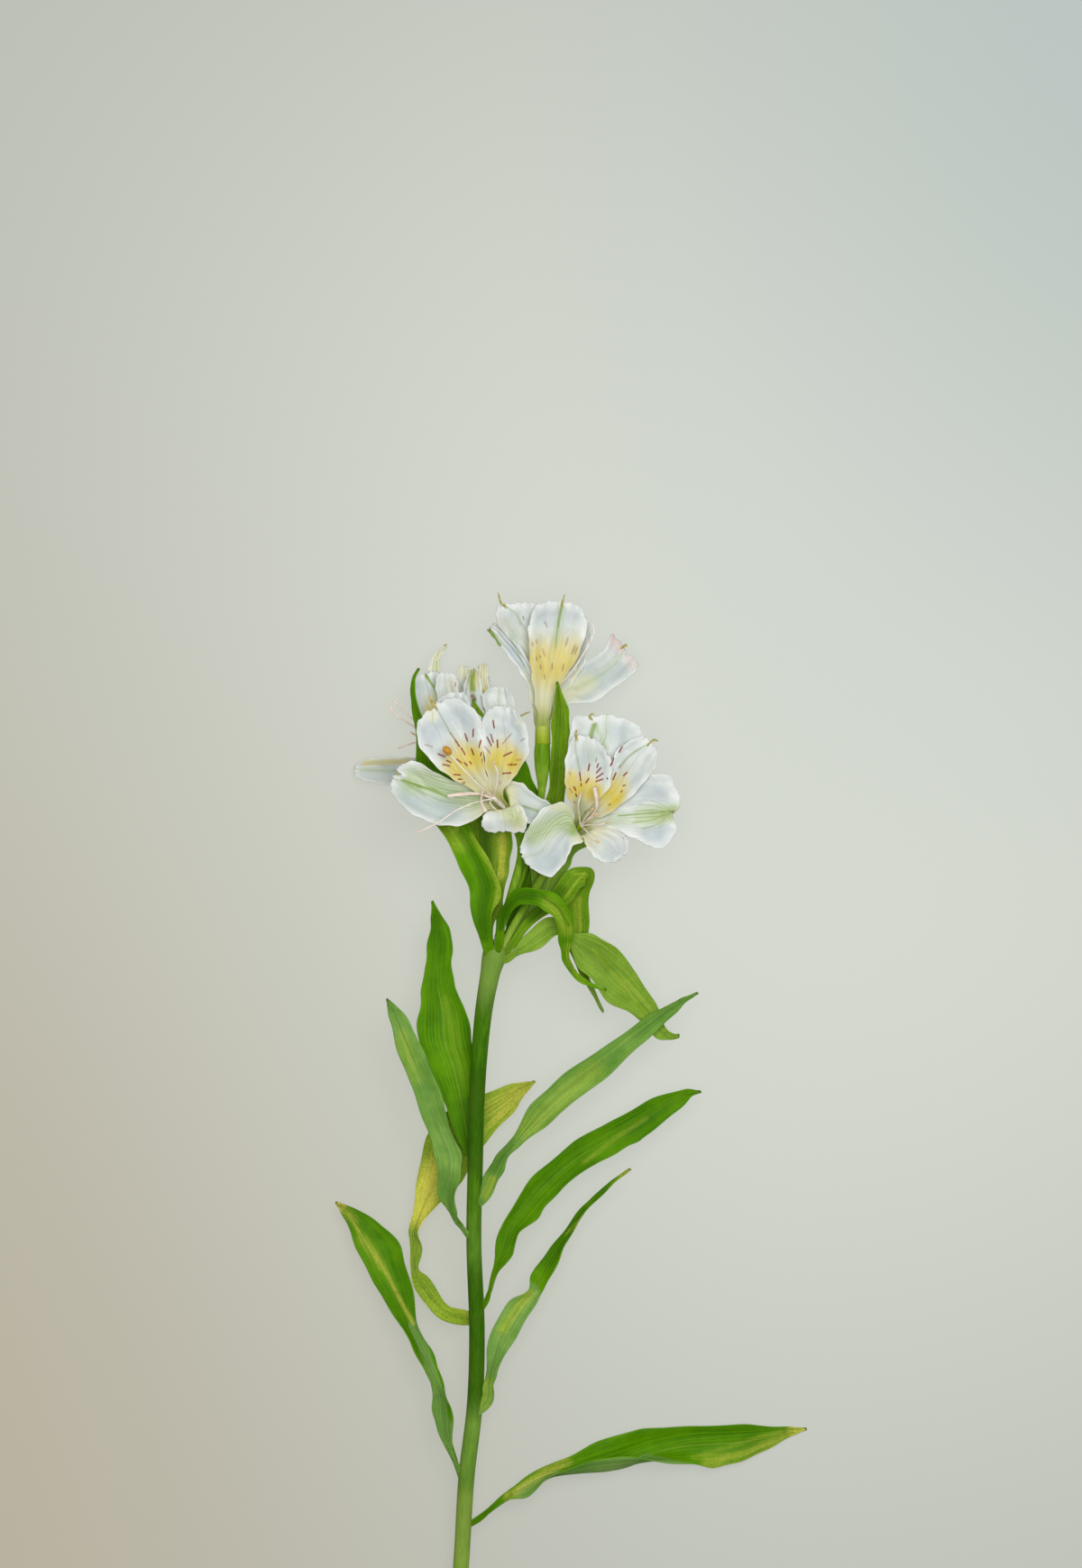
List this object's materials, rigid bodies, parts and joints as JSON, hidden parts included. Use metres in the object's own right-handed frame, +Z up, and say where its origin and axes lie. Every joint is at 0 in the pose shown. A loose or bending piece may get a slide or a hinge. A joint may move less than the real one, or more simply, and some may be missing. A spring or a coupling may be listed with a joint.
{
  "type": "alstroemeria stem",
  "caption": "Cut stem of white alstroemeria lying on its side: slim green stalk, twisted leaves, a whorl of bracts and open blooms with spotted yellow throats.",
  "frame": {"origin": "middle of the surface that the lying flower covers, at the height of that surface", "axes": "+Y runs along the stem from its cut end to the flower head, +Z is up from the surface, +X is to the right seen from above"},
  "size_m": [0.1746, 0.4476, 0.0678],
  "materials": {
    "stem": "smooth waxy green",
    "leaf": "satin green blade with fine parallel veins, paler underneath",
    "petal": "soft silky white with green keels and a spotted yellow throat",
    "stamen": "matt peach filaments and ochre anthers"
  },
  "bodies": {
    "root": {"stem": "stem", "leaf_low_right": "leaf", "leaf_low_left": "leaf", "leaf_mid_right": "leaf", "leaf_back_yellow": "leaf", "leaf_mid_left": "leaf", "leaf_high_left": "leaf", "leaf_mid_right_long": "leaf", "leaf_high_right": "leaf", "bract_left": "leaf", "bract_back_left": "leaf", "bract_back": "leaf", "bract_upright": "leaf", "bract_right_wavy": "leaf", "bract_folded": "leaf", "bract_curled": "leaf", "bract_drooping": "leaf", "stalk_right": "stem", "petals_right": "petal", "stamens_right": "stamen", "stalk_front": "stem", "petals_front": "petal", "stamens_front": "stamen", "stalk_top": "stem", "petals_top": "petal", "stamens_top": "stamen", "stalk_back_left": "stem", "petals_back_left": "petal", "stamens_back_left": "stamen", "stalk_back": "stem", "petals_back": "petal", "stamens_back": "stamen"}
  },
  "joints": []
}
